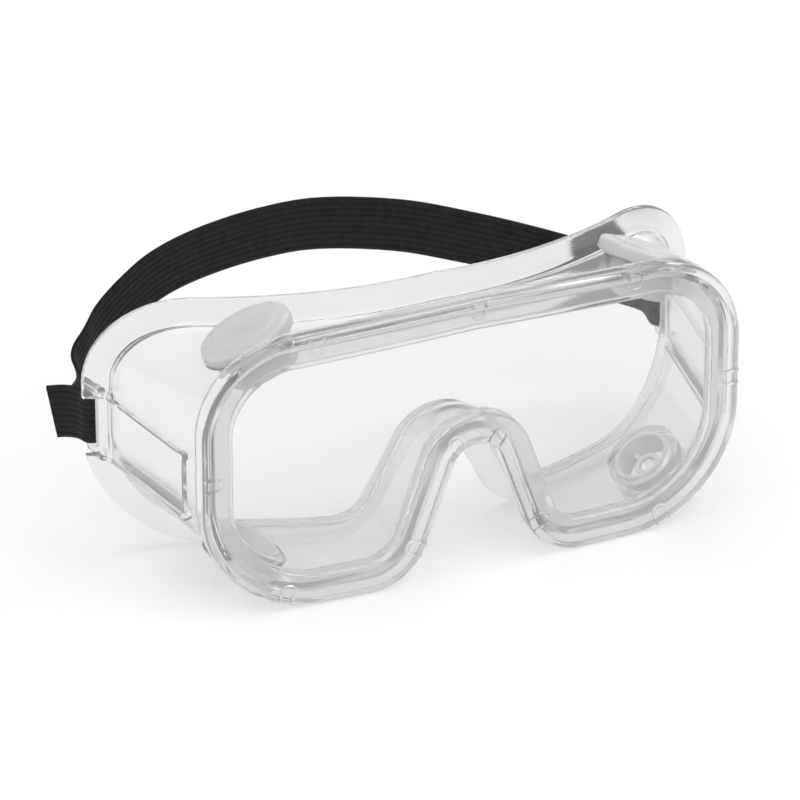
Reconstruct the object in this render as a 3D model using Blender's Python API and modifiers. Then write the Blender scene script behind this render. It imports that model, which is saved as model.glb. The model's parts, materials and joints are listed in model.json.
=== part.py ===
"""Splash goggles: a soft clear frame, a clear lens, four indirect vents and an elastic headband.

Frame: +X towards the wearer's left, -Y forwards through the lens, +Z up. The origin is the middle of
the underside of the whole object's box, so the goggles stand on Z = 0 on the lobes of the rim and of
the face flange. Lengths are in metres. The design is laid out about the middle of the lens and moved
to the origin at the end.
"""

import math

import bmesh
import bpy
import numpy as np
from mathutils import Matrix, Vector

# Front rim: the outline of its outer edge.
RIM_HALF_WIDTH = 0.0800
RIM_TOP_CENTRE = 0.0415        # height of the outer edge on the centre line
RIM_TOP_FALL = 0.0022          # how much lower the top edge lies, produced to the corner
RIM_BOTTOM = -0.0420
RIM_TOP_RADIUS = 0.0270
RIM_BOTTOM_RADIUS = 0.0350
LOBE_INNER_X = 0.0193          # where the flank of the nose notch meets the bottom edge
LOBE_RADIUS = 0.0180
NOSE_APEX = 0.0127             # where the two flanks of the nose notch would meet
NOSE_RADIUS = 0.0076
FRONT_SAG = 0.0025             # how far the sides of the front sweep back

# Front rim: its section.
LIP_WIDTH = 0.0090             # from the outer edge to the lens opening
LIP_THICKNESS = 0.0016         # soft wall in front of the lens, and behind it
GROOVE_DEPTH_EDGE = 0.0040     # soft wall outside the edge of the lens
RIM_DEPTH = 0.0052
RIM_EDGE_RADIUS = 0.0016
WALL_STEP = 0.0030             # how far the rim stands proud of the wall behind it
WALL_THICKNESS = 0.0020
WALL_WAIST = 0.0024            # how far the brow and cheek walls dip between rim and flange

# Lens.
LENS_THICKNESS = 0.0016
FIT_GAP = 0.0003               # between pieces that touch on the real object

# Rear opening, where the wall meets the face flange, and the flange itself.
REAR_FLARE = 0.0050            # how much wider the rear opening is on each side than the rim
BROW_DROP = 0.0115             # from the rim's top edge down to the rear opening's, on the centre line
BROW_DROP_CORNER = 0.0131      # and produced to the corner
REAR_TOP_RADIUS = 0.0210
REAR_BOTTOM_RADIUS = 0.0270
REAR_LOBE_INNER_X = 0.0240
REAR_LOBE_RADIUS = 0.0120
NOSE_RISE = -0.0020            # from the rim's nose apex up to the rear opening's
REAR_NOSE_RADIUS = 0.0125
REAR_DEPTH_CENTRE = 0.0270     # depth of the rear opening at the brow and nose
REAR_DEPTH_TEMPLE = 0.0580     # and at the temples
FLANGE_WIDTH = 0.0066
FLANGE_THICKNESS = 0.0017
FLANGE_SWEEP = 0.0012          # how far back the flange's free edge lies

# Outline sampling: straight runs and arcs of each half.
RUN_STEPS = (6, 3, 4, 2)
ARC_STEPS = (7, 7, 5, 4)

# Vents: two in the brow wall under mushroom caps, two in the cheek wall under low caps. Each row
# holds the seat's inset from the rim's side, its depth, its stand above the wall, its lean outwards
# and backwards, the cap's sizes, of which overhang is how far it reaches past the collar, and the
# length of its bush below the seat.
VENTS = {
    "upper": {
        "inset": 0.0218, "depth": 0.0200, "stand": 0.0011, "up": 1.0,
        "lean_side": math.radians(24.0), "lean_back": math.radians(10.0),
        "overhang": 0.0024, "crown": 0.0052, "thickness": 0.0014, "skirt": 0.0024,
        "step_radius": 0.0092, "step": 0.0007, "bush_length": 0.0085,
    },
    "lower": {
        "inset": 0.0180, "depth": 0.0200, "stand": 0.0013, "up": -1.0,
        "lean_side": math.radians(33.0), "lean_back": math.radians(2.0),
        "overhang": 0.0002, "crown": 0.0026, "thickness": 0.0009, "skirt": 0.0,
        "step_radius": 0.0058, "step": 0.0004, "bush_length": 0.0068,
    },
}
PORT_BORE_RADIUS = 0.0086
PORT_COLLAR_WALL = 0.0022
PORT_COLLAR_DEPTH = 0.0065     # from the seat down into the wall
PORT_CLEAR_HEIGHT = 0.0400     # room above the seat, free of rim and flange
BUSH_WALL = 0.0012
BUSH_RIM_THICKNESS = 0.0007
HUB_RADIUS = 0.0037
HUB_HEIGHT = 0.0040
SPOKE_COUNT = 3
SPOKE_WIDTH = 0.0016
STEM_RADIUS = 0.0021
STEM_REACH = 0.0022            # how far the cap's stem reaches below the seat
VENT_SIDES = 28

# Strap pads and lugs on the side walls.
PAD_CENTRE_Z = -0.0062
PAD_MARGIN = 0.0004            # pad above and below the slot's height
PAD_SETBACK = 0.0092           # from the back of the rim to the pad's front end
PAD_RAISE = 0.0006             # pad face above the wall
RIB_RAISE = 0.0008             # rib above the pad face
RIB_WIDTH = 0.0012
KNOB_RADIUS = 0.0016
LUG_SETBACK = 0.0082           # from the flange at the temple back to the bar
LUG_BAR_WIDTH = 0.0023
LUG_THICKNESS = 0.0023
LUG_END_HEIGHT = 0.0024        # material above and below the slot
LUG_ROUNDING = 0.0006
NOTCH_REACH = 0.0140           # how far outwards the flange is cleared in front of the slot
SLOT_SPARE = 0.0012            # slot length to spare in front of the band

# Headband: a flat ribbon folded round the bar of each lug.
BAND_WIDTH = 0.0160
BAND_THICKNESS = 0.0013
BAND_TAIL = 0.0085             # from the fold back to the free end
TAIL_FLARE = 0.0048            # how far the free end stands off outwards
TAIL_DROOP = 0.0012            # and how far it hangs down
TAIL_STEPS = 4
BAND_END_LIFT = 0.0008         # slot height to spare at each edge of the band
BAND_ROUTE = (                 # centre line behind the goggles: x as a share of the rear half width,
    (-1.014, 0.0062, 0.0020),  # then back from the bars and up from the middle of the pads
    (-1.012, 0.0105, 0.0074),
    (-0.959, 0.0143, 0.0114),
    (-0.889, 0.0188, 0.0149),
    (-0.775, 0.0228, 0.0203),
    (-0.649, 0.0263, 0.0244),
    (-0.474, 0.0303, 0.0262),
    (-0.252, 0.0333, 0.0268),
    (-0.039, 0.0343, 0.0257),
    (0.236, 0.0323, 0.0212),
    (0.464, 0.0278, 0.0155),
    (0.640, 0.0228, 0.0108),
    (0.824, 0.0158, 0.0057),
    (0.947, 0.0100, 0.0022),
    (0.992, 0.0060, 0.0008),
)
BAND_STEPS = 3                 # stations between two points of the route
FOLD_STEPS = 8                 # stations round the bar

PARTS = "splash_goggles"
CUTTERS = "cutters"


# --- Scene helpers -------------------------------------------------------------------------------

def clear_scene():
    """Removes whatever the scene held."""
    for obj in list(bpy.data.objects):
        bpy.data.objects.remove(obj, do_unlink=True)


def collection(name):
    """Makes a collection in the scene."""
    group = bpy.data.collections.new(name)
    bpy.context.scene.collection.children.link(group)
    return group


def material(name, colour, roughness, metallic=0.0, alpha=1.0, transmission=0.0):
    """Makes a Principled material."""
    mat = bpy.data.materials.new(name)
    mat.use_nodes = True
    shader = mat.node_tree.nodes["Principled BSDF"]
    shader.inputs["Base Color"].default_value = (*colour, 1.0)
    shader.inputs["Roughness"].default_value = roughness
    shader.inputs["Metallic"].default_value = metallic
    shader.inputs["Alpha"].default_value = alpha
    shader.inputs["Transmission Weight"].default_value = transmission
    mat.diffuse_color = (*colour, alpha)
    return mat


def mesh_object(name, bm, group, mat=None, smooth_angle=None):
    """Turns a bmesh into an object with its faces pointing out."""
    bmesh.ops.recalc_face_normals(bm, faces=bm.faces)
    mesh = bpy.data.meshes.new(name)
    bm.to_mesh(mesh)
    bm.free()
    obj = bpy.data.objects.new(name, mesh)
    group.objects.link(obj)
    if mat:
        mesh.materials.append(mat)
    if smooth_angle is not None:
        mesh.shade_smooth()
        mesh.set_sharp_from_angle(angle=smooth_angle)
    return obj


def cutter(obj):
    """Marks an object as a tool that only shapes others."""
    obj.hide_render = True
    obj.display_type = "WIRE"
    return obj


def boolean(obj, tool, operation):
    """Adds an exact boolean modifier."""
    modifier = obj.modifiers.new(f"{operation.lower()} {tool.name}", "BOOLEAN")
    modifier.operation = operation
    modifier.solver = "EXACT"
    modifier.object = tool


# --- Outlines ------------------------------------------------------------------------------------

class Station:
    """A point of an outline in the XZ plane, with the outward direction there."""

    def __init__(self, point, normal):
        self.x, self.z = point
        self.nx, self.nz = normal

    def mirrored(self):
        return Station((-self.x, self.z), (-self.nx, self.nz))

    def offset(self, distance):
        """The point moved outwards by a distance."""
        return self.x + self.nx * distance, self.z + self.nz * distance


def turn(vector, angle):
    """Turns a 2D vector anticlockwise."""
    c, s = math.cos(angle), math.sin(angle)
    return Vector((c * vector.x - s * vector.y, s * vector.x + c * vector.y))


def half_outline(corners, radii):
    """Walks clockwise from the top centre to the nose apex, rounding each corner.

    corners holds the top centre, the top corner, the bottom corner, the inner corner of the lobe and
    the nose apex. radii holds one radius for each corner after the first. The nose arc stops at the
    centre line, where the mirrored half takes over.
    """
    points = [Vector(corner) for corner in corners]
    points.append(Vector((-corners[-2][0], corners[-2][1])))
    stations = []
    start = points[0]
    for index, radius in enumerate(radii, start=1):
        corner = points[index]
        d_in = (corner - points[index - 1]).normalized()
        d_out = (points[index + 1] - corner).normalized()
        angle = d_in.angle_signed(d_out) * -1.0
        reach = radius * math.tan(abs(angle) / 2.0)
        arc_start = corner - d_in * reach
        n_in = Vector((-d_in.y, d_in.x))
        side = math.copysign(1.0, angle)
        centre = arc_start + n_in * radius * side
        runs = RUN_STEPS[index - 1]
        for step in range(runs):
            point = start.lerp(arc_start, step / runs)
            normal = Vector((0.0, 1.0)) if not stations else n_in
            stations.append(Station(point, normal))
        last = index == len(radii)
        arcs = ARC_STEPS[index - 1]
        sweep = angle / 2.0 if last else angle
        for step in range(arcs + (1 if last else 0)):
            normal = turn(n_in, sweep * step / arcs)
            stations.append(Station(centre - normal * radius * side, normal))
        start = corner + d_out * reach
    return stations


def closed_outline(corners, radii):
    """The half outline and its mirror image as one closed loop."""
    half = half_outline(corners, radii)
    return half + [station.mirrored() for station in reversed(half[1:-1])]


def rim_outline():
    """Outer edge of the front rim."""
    corners = (
        (0.0, RIM_TOP_CENTRE),
        (RIM_HALF_WIDTH, RIM_TOP_CENTRE - RIM_TOP_FALL),
        (RIM_HALF_WIDTH, RIM_BOTTOM),
        (LOBE_INNER_X, RIM_BOTTOM),
        (0.0, NOSE_APEX),
    )
    return closed_outline(corners, (RIM_TOP_RADIUS, RIM_BOTTOM_RADIUS, LOBE_RADIUS, NOSE_RADIUS))


def rear_outline():
    """Line where the wall turns out into the face flange; its lobes bring the flange down to the rim."""
    bottom = RIM_BOTTOM + FLANGE_WIDTH
    half_width = RIM_HALF_WIDTH + REAR_FLARE
    corners = (
        (0.0, RIM_TOP_CENTRE - BROW_DROP),
        (half_width, RIM_TOP_CENTRE - RIM_TOP_FALL - BROW_DROP_CORNER),
        (half_width, bottom),
        (REAR_LOBE_INNER_X, bottom),
        (0.0, NOSE_APEX + NOSE_RISE),
    )
    radii = (REAR_TOP_RADIUS, REAR_BOTTOM_RADIUS, REAR_LOBE_RADIUS, REAR_NOSE_RADIUS)
    return closed_outline(corners, radii)


def front_y(x):
    """Depth of the front surface, swept back towards the sides."""
    return FRONT_SAG * (x / RIM_HALF_WIDTH) ** 2


def rear_y(x):
    """Depth of the rear opening, which follows the curve of a face."""
    spread = REAR_DEPTH_TEMPLE - REAR_DEPTH_CENTRE
    return REAR_DEPTH_CENTRE + spread * (x / (RIM_HALF_WIDTH + REAR_FLARE)) ** 2


def front_point(station, out, back):
    """A point of the rim's section: out from its outer edge, and back from its front surface."""
    x, z = station.offset(out)
    return Vector((x, front_y(x) + back, z))


def rear_point(station, out, back):
    """A point of the flange's section: out from the rear opening, and back from it."""
    x, z = station.offset(out)
    return Vector((x, rear_y(station.x) + back, z))


# --- Frame body ----------------------------------------------------------------------------------

def wall_point(front, rear, share, inside):
    """A point of the wall between rim and flange, on its outer or its inner face."""
    depth = WALL_THICKNESS if inside else 0.0
    start = front_point(front, -WALL_STEP - depth, RIM_DEPTH)
    end = rear_point(rear, -depth, -WALL_THICKNESS)
    dip = WALL_WAIST * 4.0 * share * (1.0 - share) * abs(front.nz) * rear.nz
    return start.lerp(end, share) - Vector((0.0, 0.0, dip))


def frame_section(front, rear):
    """The closed section of the frame at one station: rim, groove, wall and flange."""
    lens_room = LENS_THICKNESS + 2.0 * FIT_GAP
    groove_back = LIP_THICKNESS + lens_room
    rounding = RIM_EDGE_RADIUS * 0.3
    flange_back = FLANGE_SWEEP + FLANGE_THICKNESS
    return (
        front_point(front, -LIP_WIDTH, LIP_THICKNESS),
        front_point(front, -LIP_WIDTH, rounding),
        front_point(front, -LIP_WIDTH + rounding, 0.0),
        front_point(front, -RIM_EDGE_RADIUS, 0.0),
        front_point(front, -rounding, rounding),
        front_point(front, 0.0, RIM_EDGE_RADIUS),
        front_point(front, 0.0, RIM_DEPTH - rounding),
        front_point(front, -rounding, RIM_DEPTH),
        wall_point(front, rear, 0.0, False),
        wall_point(front, rear, 0.25, False),
        wall_point(front, rear, 0.5, False),
        wall_point(front, rear, 0.75, False),
        wall_point(front, rear, 1.0, False),
        rear_point(rear, FLANGE_WIDTH - rounding, FLANGE_SWEEP),
        rear_point(rear, FLANGE_WIDTH, FLANGE_SWEEP + FLANGE_THICKNESS / 2.0),
        rear_point(rear, FLANGE_WIDTH - rounding, flange_back),
        rear_point(rear, -WALL_THICKNESS, FLANGE_THICKNESS),
        wall_point(front, rear, 1.0, True),
        wall_point(front, rear, 0.75, True),
        wall_point(front, rear, 0.5, True),
        wall_point(front, rear, 0.25, True),
        wall_point(front, rear, 0.0, True),
        front_point(front, -LIP_WIDTH, groove_back + LIP_THICKNESS),
        front_point(front, -LIP_WIDTH, groove_back),
        front_point(front, -GROOVE_DEPTH_EDGE, groove_back),
        front_point(front, -GROOVE_DEPTH_EDGE, LIP_THICKNESS),
    )


def frame_ring(group, mat):
    """Carries the section round the outlines into one closed ring."""
    bm = bmesh.new()
    rings = []
    for front, rear in zip(rim_outline(), rear_outline()):
        rings.append([bm.verts.new(point) for point in frame_section(front, rear)])
    for index, ring in enumerate(rings):
        following = rings[(index + 1) % len(rings)]
        for j in range(len(ring)):
            k = (j + 1) % len(ring)
            bm.faces.new((ring[j], ring[k], following[k], following[j]))
    return mesh_object("frame_body", bm, group, mat, math.radians(35.0))


# --- Vents ---------------------------------------------------------------------------------------

def wall_height(x, depth, up):
    """Height of the wall's outer face on the brow side (up 1) or the cheek side (up -1)."""
    heights = []
    for outline in (rim_outline(), rear_outline()):
        half = outline[:len(outline) // 2 + 1]
        faced = sorted((station.x, station.z) for station in half if station.nz * up > 0.0)
        heights.append(np.interp(x, *zip(*faced)))
    start = front_y(x) + RIM_DEPTH
    end = rear_y(x) - WALL_THICKNESS
    share = (depth - start) / (end - start)
    front, rear = heights[0] - up * WALL_STEP, heights[1]
    return front + (rear - front) * share - up * WALL_WAIST * 4.0 * share * (1.0 - share)


def cap_radius(sizes):
    """Outer radius of a vent's cap."""
    return PORT_BORE_RADIUS + PORT_COLLAR_WALL + sizes["overhang"]


def vent_places():
    """Name, sizes and seat matrix of each vent; local +Z points out of the wall."""
    places = []
    for level, sizes in VENTS.items():
        lean, back = sizes["lean_side"], sizes["lean_back"]
        x, y = RIM_HALF_WIDTH - sizes["inset"], sizes["depth"]
        z = wall_height(x, y, sizes["up"]) + sizes["up"] * sizes["stand"]
        for hand, side in (("left", 1.0), ("right", -1.0)):
            normal = Vector((
                side * math.sin(lean) * math.cos(back),
                math.sin(back),
                sizes["up"] * math.cos(lean) * math.cos(back),
            ))
            turn_out = normal.to_track_quat("Z", "Y").to_matrix().to_4x4()
            seat = Matrix.Translation((side * x, y, z)) @ turn_out
            places.append((f"{level}_{hand}", sizes, seat))
    return places


def turned(name, profile, group, mat=None):
    """A closed profile of radius and height, turned about Z with a Screw modifier."""
    bm = bmesh.new()
    verts = [bm.verts.new((radius, 0.0, height)) for radius, height in profile]
    edges = list(zip(verts, verts[1:]))
    if profile[0][0] > 0.0:
        edges.append((verts[-1], verts[0]))
    for pair in edges:
        bm.edges.new(pair)
    mesh = bpy.data.meshes.new(name)
    bm.to_mesh(mesh)
    bm.free()
    if mat:
        mesh.materials.append(mat)
    obj = bpy.data.objects.new(name, mesh)
    group.objects.link(obj)
    screw = obj.modifiers.new("turn", "SCREW")
    screw.steps = VENT_SIDES
    screw.render_steps = VENT_SIDES
    screw.use_merge_vertices = True
    screw.merge_threshold = 0.00001
    screw.use_smooth_shade = True
    return obj


def cylinder(name, radius, low, high, group, sides=VENT_SIDES):
    """A closed cylinder along Z."""
    bm = bmesh.new()
    place = Matrix.Translation((0.0, 0.0, (low + high) / 2.0))
    bmesh.ops.create_cone(
        bm, cap_ends=True, segments=sides, radius1=radius, radius2=radius, depth=high - low,
        matrix=place)
    return cutter(mesh_object(name, bm, group))


def add_ports(frame, tools):
    """Moulds a collar round each vent, faces it flat under the bush and the cap, and bores it."""
    for name, sizes, seat in vent_places():
        under_cap = sizes["crown"] - sizes["step"] - sizes["thickness"] - sizes["skirt"] - FIT_GAP
        collar = PORT_BORE_RADIUS + PORT_COLLAR_WALL
        steps = (
            ("seat", collar + FIT_GAP, FIT_GAP / 4.0, PORT_CLEAR_HEIGHT, "DIFFERENCE"),
            ("relief", cap_radius(sizes) + FIT_GAP, under_cap, PORT_CLEAR_HEIGHT, "DIFFERENCE"),
            ("collar", collar, -PORT_COLLAR_DEPTH, 0.0, "UNION"),
            ("bore", PORT_BORE_RADIUS, -PORT_COLLAR_DEPTH * 2.0, PORT_CLEAR_HEIGHT, "DIFFERENCE"),
        )
        for kind, radius, low, high, operation in steps:
            tool = cylinder(f"{kind}_{name}", radius, low, high, tools)
            tool.matrix_world = seat
            boolean(frame, tool, operation)


def vent_bush(name, length, seat, group, tools, mat):
    """The vent's bush: a flanged tube in the port, with a hub on spokes that holds the cap."""
    collar = PORT_BORE_RADIUS + PORT_COLLAR_WALL
    outer = PORT_BORE_RADIUS - FIT_GAP
    inner = outer - BUSH_WALL
    low = FIT_GAP
    high = FIT_GAP + BUSH_RIM_THICKNESS
    tube = turned(name, (
        (collar, high),
        (collar, low),
        (outer, low),
        (outer, -length),
        (inner, -length),
        (inner, high),
    ), group, mat)
    floor = high - HUB_HEIGHT
    hub = turned(f"hub_{name}", (
        (HUB_RADIUS, high),
        (HUB_RADIUS, floor),
        (STEM_RADIUS + FIT_GAP, floor),
        (STEM_RADIUS + FIT_GAP, high),
    ), tools)
    cutter(hub)
    boolean(tube, hub, "UNION")
    hub_wall = (HUB_RADIUS + STEM_RADIUS + FIT_GAP) / 2.0
    for index in range(SPOKE_COUNT):
        bm = bmesh.new()
        reach = (inner + outer) / 2.0 - hub_wall
        bmesh.ops.create_cube(bm, size=1.0, matrix=Matrix.LocRotScale(
            (hub_wall + reach / 2.0, 0.0, (high + floor) / 2.0), None,
            (reach, SPOKE_WIDTH, HUB_HEIGHT * 0.6)))
        bmesh.ops.rotate(
            bm, verts=bm.verts, cent=(0.0, 0.0, 0.0),
            matrix=Matrix.Rotation(math.tau * index / SPOKE_COUNT, 3, "Z"))
        spoke = cutter(mesh_object(f"spoke_{index}_{name}", bm, tools))
        spoke.matrix_world = seat
        boolean(tube, spoke, "UNION")
    hub.matrix_world = seat
    tube.matrix_world = seat
    return tube


def vent_cap(name, sizes, seat, group, mat):
    """The vent's cap, which shades the gap that the air goes through; its stem sits in the hub."""
    top, step, radius = sizes["crown"], sizes["step"], cap_radius(sizes)
    disc_top = top - step
    disc_low = disc_top - sizes["thickness"]
    profile = [
        (0.0, top),
        (sizes["step_radius"], top),
        (sizes["step_radius"] + step, disc_top),
        (radius - step, disc_top),
        (radius, disc_top - step),
    ]
    if sizes["skirt"]:
        skirt_low = disc_low - sizes["skirt"]
        skirt_inner = radius - sizes["thickness"]
        profile += [(radius, skirt_low), (skirt_inner, skirt_low), (skirt_inner, disc_low)]
    else:
        profile.append((radius, disc_low))
    profile += [(STEM_RADIUS, disc_low), (STEM_RADIUS, -STEM_REACH), (0.0, -STEM_REACH)]
    cap = turned(name, profile, group, mat)
    cap.matrix_world = seat
    return cap


# --- Lens ----------------------------------------------------------------------------------------

def lens_columns():
    """Positions across the lens with the heights of its lower and upper edge there."""
    edge = -(GROOVE_DEPTH_EDGE + FIT_GAP)
    outline = rim_outline()
    half = [station.offset(edge) for station in outline[:len(outline) // 2 + 1]]
    side = max(x for x, z in half)
    straight = [index for index, (x, z) in enumerate(half) if x > side - FIT_GAP / 10.0]
    upper = half[:straight[0] + 1]
    lower = list(reversed(half[straight[-1]:]))
    positions = sorted({round(max(x, 0.0), 7) for x, z in upper + lower})
    tops = np.interp(positions, *zip(*upper))
    bottoms = np.interp(positions, *zip(*lower))
    right = list(zip(positions, bottoms, tops))
    return [(-x, low, high) for x, low, high in reversed(right[1:])] + right


def lens(group, mat):
    """The lens: a sheet that reaches to the bottom of the groove and curves with the front."""
    bm = bmesh.new()
    columns = []
    for x, low, high in lens_columns():
        y = front_y(x) + LIP_THICKNESS + FIT_GAP
        columns.append([bm.verts.new((x, y, z)) for z in (low, high)])
    for (low, high), (next_low, next_high) in zip(columns, columns[1:]):
        bm.faces.new((low, next_low, next_high, high))
    back = bmesh.ops.extrude_face_region(bm, geom=bm.faces[:])
    moved = [item for item in back["geom"] if isinstance(item, bmesh.types.BMVert)]
    bmesh.ops.translate(bm, verts=moved, vec=(0.0, LENS_THICKNESS, 0.0))
    return mesh_object("lens", bm, group, mat)


# --- Strap pads and lugs -------------------------------------------------------------------------

def lug_frame(side):
    """Axes of the strap pad: origin in the bar, +X outwards, +Y backwards along the wall, +Z up."""
    front_x = RIM_HALF_WIDTH - WALL_STEP
    front_depth = RIM_DEPTH + FRONT_SAG
    rear_depth = REAR_DEPTH_TEMPLE - WALL_THICKNESS
    bar_depth = REAR_DEPTH_TEMPLE + LUG_SETBACK
    lean = math.atan2(REAR_FLARE + WALL_STEP, rear_depth - front_depth)
    bar_x = front_x + (bar_depth - front_depth) * math.tan(lean)
    back = Vector((side * math.sin(lean), math.cos(lean), 0.0))
    out = Vector((side * math.cos(lean), -math.sin(lean), 0.0))
    up = Vector((0.0, 0.0, 1.0))
    axes = Matrix((out, back, up)).transposed().to_4x4()
    return Matrix.Translation((side * bar_x, bar_depth, PAD_CENTRE_Z)) @ axes


def block(name, low, high, place, tools, bevel=0.0):
    """A box between two corners of a frame, as a tool."""
    bm = bmesh.new()
    low, high = Vector(low), Vector(high)
    bmesh.ops.create_cube(
        bm, size=1.0, matrix=Matrix.LocRotScale((low + high) / 2.0, None, high - low))
    if bevel:
        bmesh.ops.bevel(
            bm, geom=list(bm.edges), offset=bevel, segments=1, affect="EDGES", profile=0.5)
    bmesh.ops.transform(bm, matrix=place, verts=bm.verts)
    return cutter(mesh_object(name, bm, tools))


def fold_radius():
    """Radius of the band's middle where it turns round the corners of the bar."""
    return math.hypot(LUG_BAR_WIDTH, LUG_THICKNESS) / 2.0 + FIT_GAP + BAND_THICKNESS / 2.0


def add_lug(frame, hand, side, tools):
    """Moulds a strap pad with its ribs and knobs, and the slotted lug behind the flange."""
    place = lug_frame(side)
    half_slot = BAND_WIDTH / 2.0 + BAND_END_LIFT
    half_lug = half_slot + LUG_END_HEIGHT
    half_pad = half_slot + PAD_MARGIN
    pad_front = -(REAR_DEPTH_TEMPLE + LUG_SETBACK - RIM_DEPTH - FRONT_SAG - PAD_SETBACK)
    bar = LUG_BAR_WIDTH / 2.0
    half_plate = LUG_THICKNESS / 2.0
    face = PAD_RAISE
    root = -WALL_THICKNESS * 0.6
    rib_root = root - FIT_GAP
    rib_top = face + RIB_RAISE
    half_rib = RIB_WIDTH / 2.0
    pad_end = -half_slot
    lug_start = pad_end - LUG_BAR_WIDTH * 1.5
    pieces = [
        ("pad", (root, pad_front, -half_pad), (face, pad_end, half_pad), 0.0),
        ("lug", (-half_plate, lug_start, -half_lug), (half_plate, bar, half_lug), LUG_ROUNDING),
        ("rib_front", (rib_root, pad_front - half_rib, -half_pad + half_rib / 2.0),
         (rib_top, pad_front + half_rib, half_pad - half_rib / 2.0), 0.0),
    ]
    for level, z in (("top", half_pad), ("bottom", -half_pad)):
        pieces.append((
            f"rib_{level}", (rib_root - FIT_GAP, pad_front - half_rib * 1.5, z - half_rib),
            (rib_top + FIT_GAP / 3.0, pad_end - RIB_WIDTH, z + half_rib), 0.0))
        pieces.append((
            f"knob_{level}", (root, pad_front - KNOB_RADIUS, z - KNOB_RADIUS * 0.75),
            (rib_top + FIT_GAP, pad_front + KNOB_RADIUS, z + KNOB_RADIUS * 0.75), KNOB_RADIUS / 4.0))
    for name, low, high, bevel in pieces:
        boolean(frame, block(f"{name}_{hand}", low, high, place, tools, bevel), "UNION")
    notch = block(
        f"notch_{hand}", (half_plate + FIT_GAP / 3.0, lug_start + LUG_BAR_WIDTH * 0.3, -half_slot),
        (NOTCH_REACH, -bar, half_slot), place, tools)
    boolean(frame, notch, "DIFFERENCE")
    slot_end = -(fold_radius() + BAND_THICKNESS / 2.0 + SLOT_SPARE)
    slot = block(
        f"slot_{hand}", (-LUG_THICKNESS, slot_end, -half_slot), (LUG_THICKNESS, -bar, half_slot),
        place, tools)
    boolean(frame, slot, "DIFFERENCE")


# --- Headband ------------------------------------------------------------------------------------

def smooth_route(padded, steps):
    """Points along a smooth curve from the second of the given points to the last but one."""
    route = []
    for p0, p1, p2, p3 in zip(padded, padded[1:], padded[2:], padded[3:]):
        for step in range(steps):
            t = step / steps
            a = p1 * 2.0
            b = (p2 - p0) * t
            c = (p0 * 2.0 - p1 * 5.0 + p2 * 4.0 - p3) * t ** 2
            d = (p1 * 3.0 - p0 - p2 * 3.0 + p3) * t ** 3
            route.append((a + b + c + d) * 0.5)
    return route


def fold(side):
    """Centre line from the free tail, forwards outside the bar, through the slot and back inside."""
    place = lug_frame(side)
    radius = fold_radius()
    points = []
    for step in range(TAIL_STEPS, 0, -1):
        share = step / TAIL_STEPS
        bend = share ** 2
        points.append((radius + TAIL_FLARE * bend, BAND_TAIL * share, -TAIL_DROOP * bend))
    for step in range(FOLD_STEPS + 1):
        angle = math.pi * step / FOLD_STEPS
        points.append((radius * math.cos(angle), -radius * math.sin(angle), 0.0))
    return [place @ Vector(point) for point in points]


def headband(group, mat):
    """The elastic ribbon, swept along its route with its width held as upright as the route lets it."""
    first, last = fold(-1.0), list(reversed(fold(1.0)))
    half_width, bar_depth = RIM_HALF_WIDTH + REAR_FLARE, REAR_DEPTH_TEMPLE + LUG_SETBACK
    loose = [
        Vector((x * half_width, bar_depth + back, PAD_CENTRE_Z + rise)) for x, back, rise in BAND_ROUTE]
    centre = first[:-1] + smooth_route(first[-2:] + loose + last[:2], BAND_STEPS) + last
    up = Vector((0.0, 0.0, 1.0))
    half_width = BAND_WIDTH / 2.0
    half_thick = BAND_THICKNESS / 2.0
    edge = half_thick * 0.6
    section = (
        (-half_width, -half_thick + edge), (-half_width, half_thick - edge),
        (-half_width + edge, half_thick), (half_width - edge, half_thick),
        (half_width, half_thick - edge), (half_width, -half_thick + edge),
        (half_width - edge, -half_thick), (-half_width + edge, -half_thick),
    )
    bm = bmesh.new()
    rings = []
    for index, point in enumerate(centre):
        before = centre[max(index - 1, 0)]
        after = centre[min(index + 1, len(centre) - 1)]
        along = (after - before).normalized()
        width = (up - along * along.z).normalized()
        thick = along.cross(width)
        rings.append([bm.verts.new(point + width * w + thick * t) for w, t in section])
    for ring, following in zip(rings, rings[1:]):
        for j in range(len(ring)):
            k = (j + 1) % len(ring)
            bm.faces.new((ring[j], ring[k], following[k], following[j]))
    bm.faces.new(list(reversed(rings[0])))
    bm.faces.new(rings[-1])
    return mesh_object("headband", bm, group, mat, math.radians(40.0))


# --- Assembly ------------------------------------------------------------------------------------

def box_of(objects):
    """Lowest and highest corners of the evaluated objects."""
    bpy.context.view_layer.update()
    depsgraph = bpy.context.evaluated_depsgraph_get()
    corners = []
    for obj in objects:
        evaluated = obj.evaluated_get(depsgraph)
        corners += [obj.matrix_world @ vert.co for vert in evaluated.data.vertices]
    low = Vector([min(corner[axis] for corner in corners) for axis in range(3)])
    high = Vector([max(corner[axis] for corner in corners) for axis in range(3)])
    return low, high


def stand_on_origin(objects, tools):
    """Parents everything to an empty and moves it so that the box's underside is centred on the origin."""
    low, high = box_of(objects)
    root = bpy.data.objects.new("goggles_root", None)
    bpy.context.scene.collection.objects.link(root)
    for obj in list(objects) + list(tools):
        obj.parent = root
    root.location = (-(low.x + high.x) / 2.0, -(low.y + high.y) / 2.0, -low.z)
    bpy.context.view_layer.update()


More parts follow.
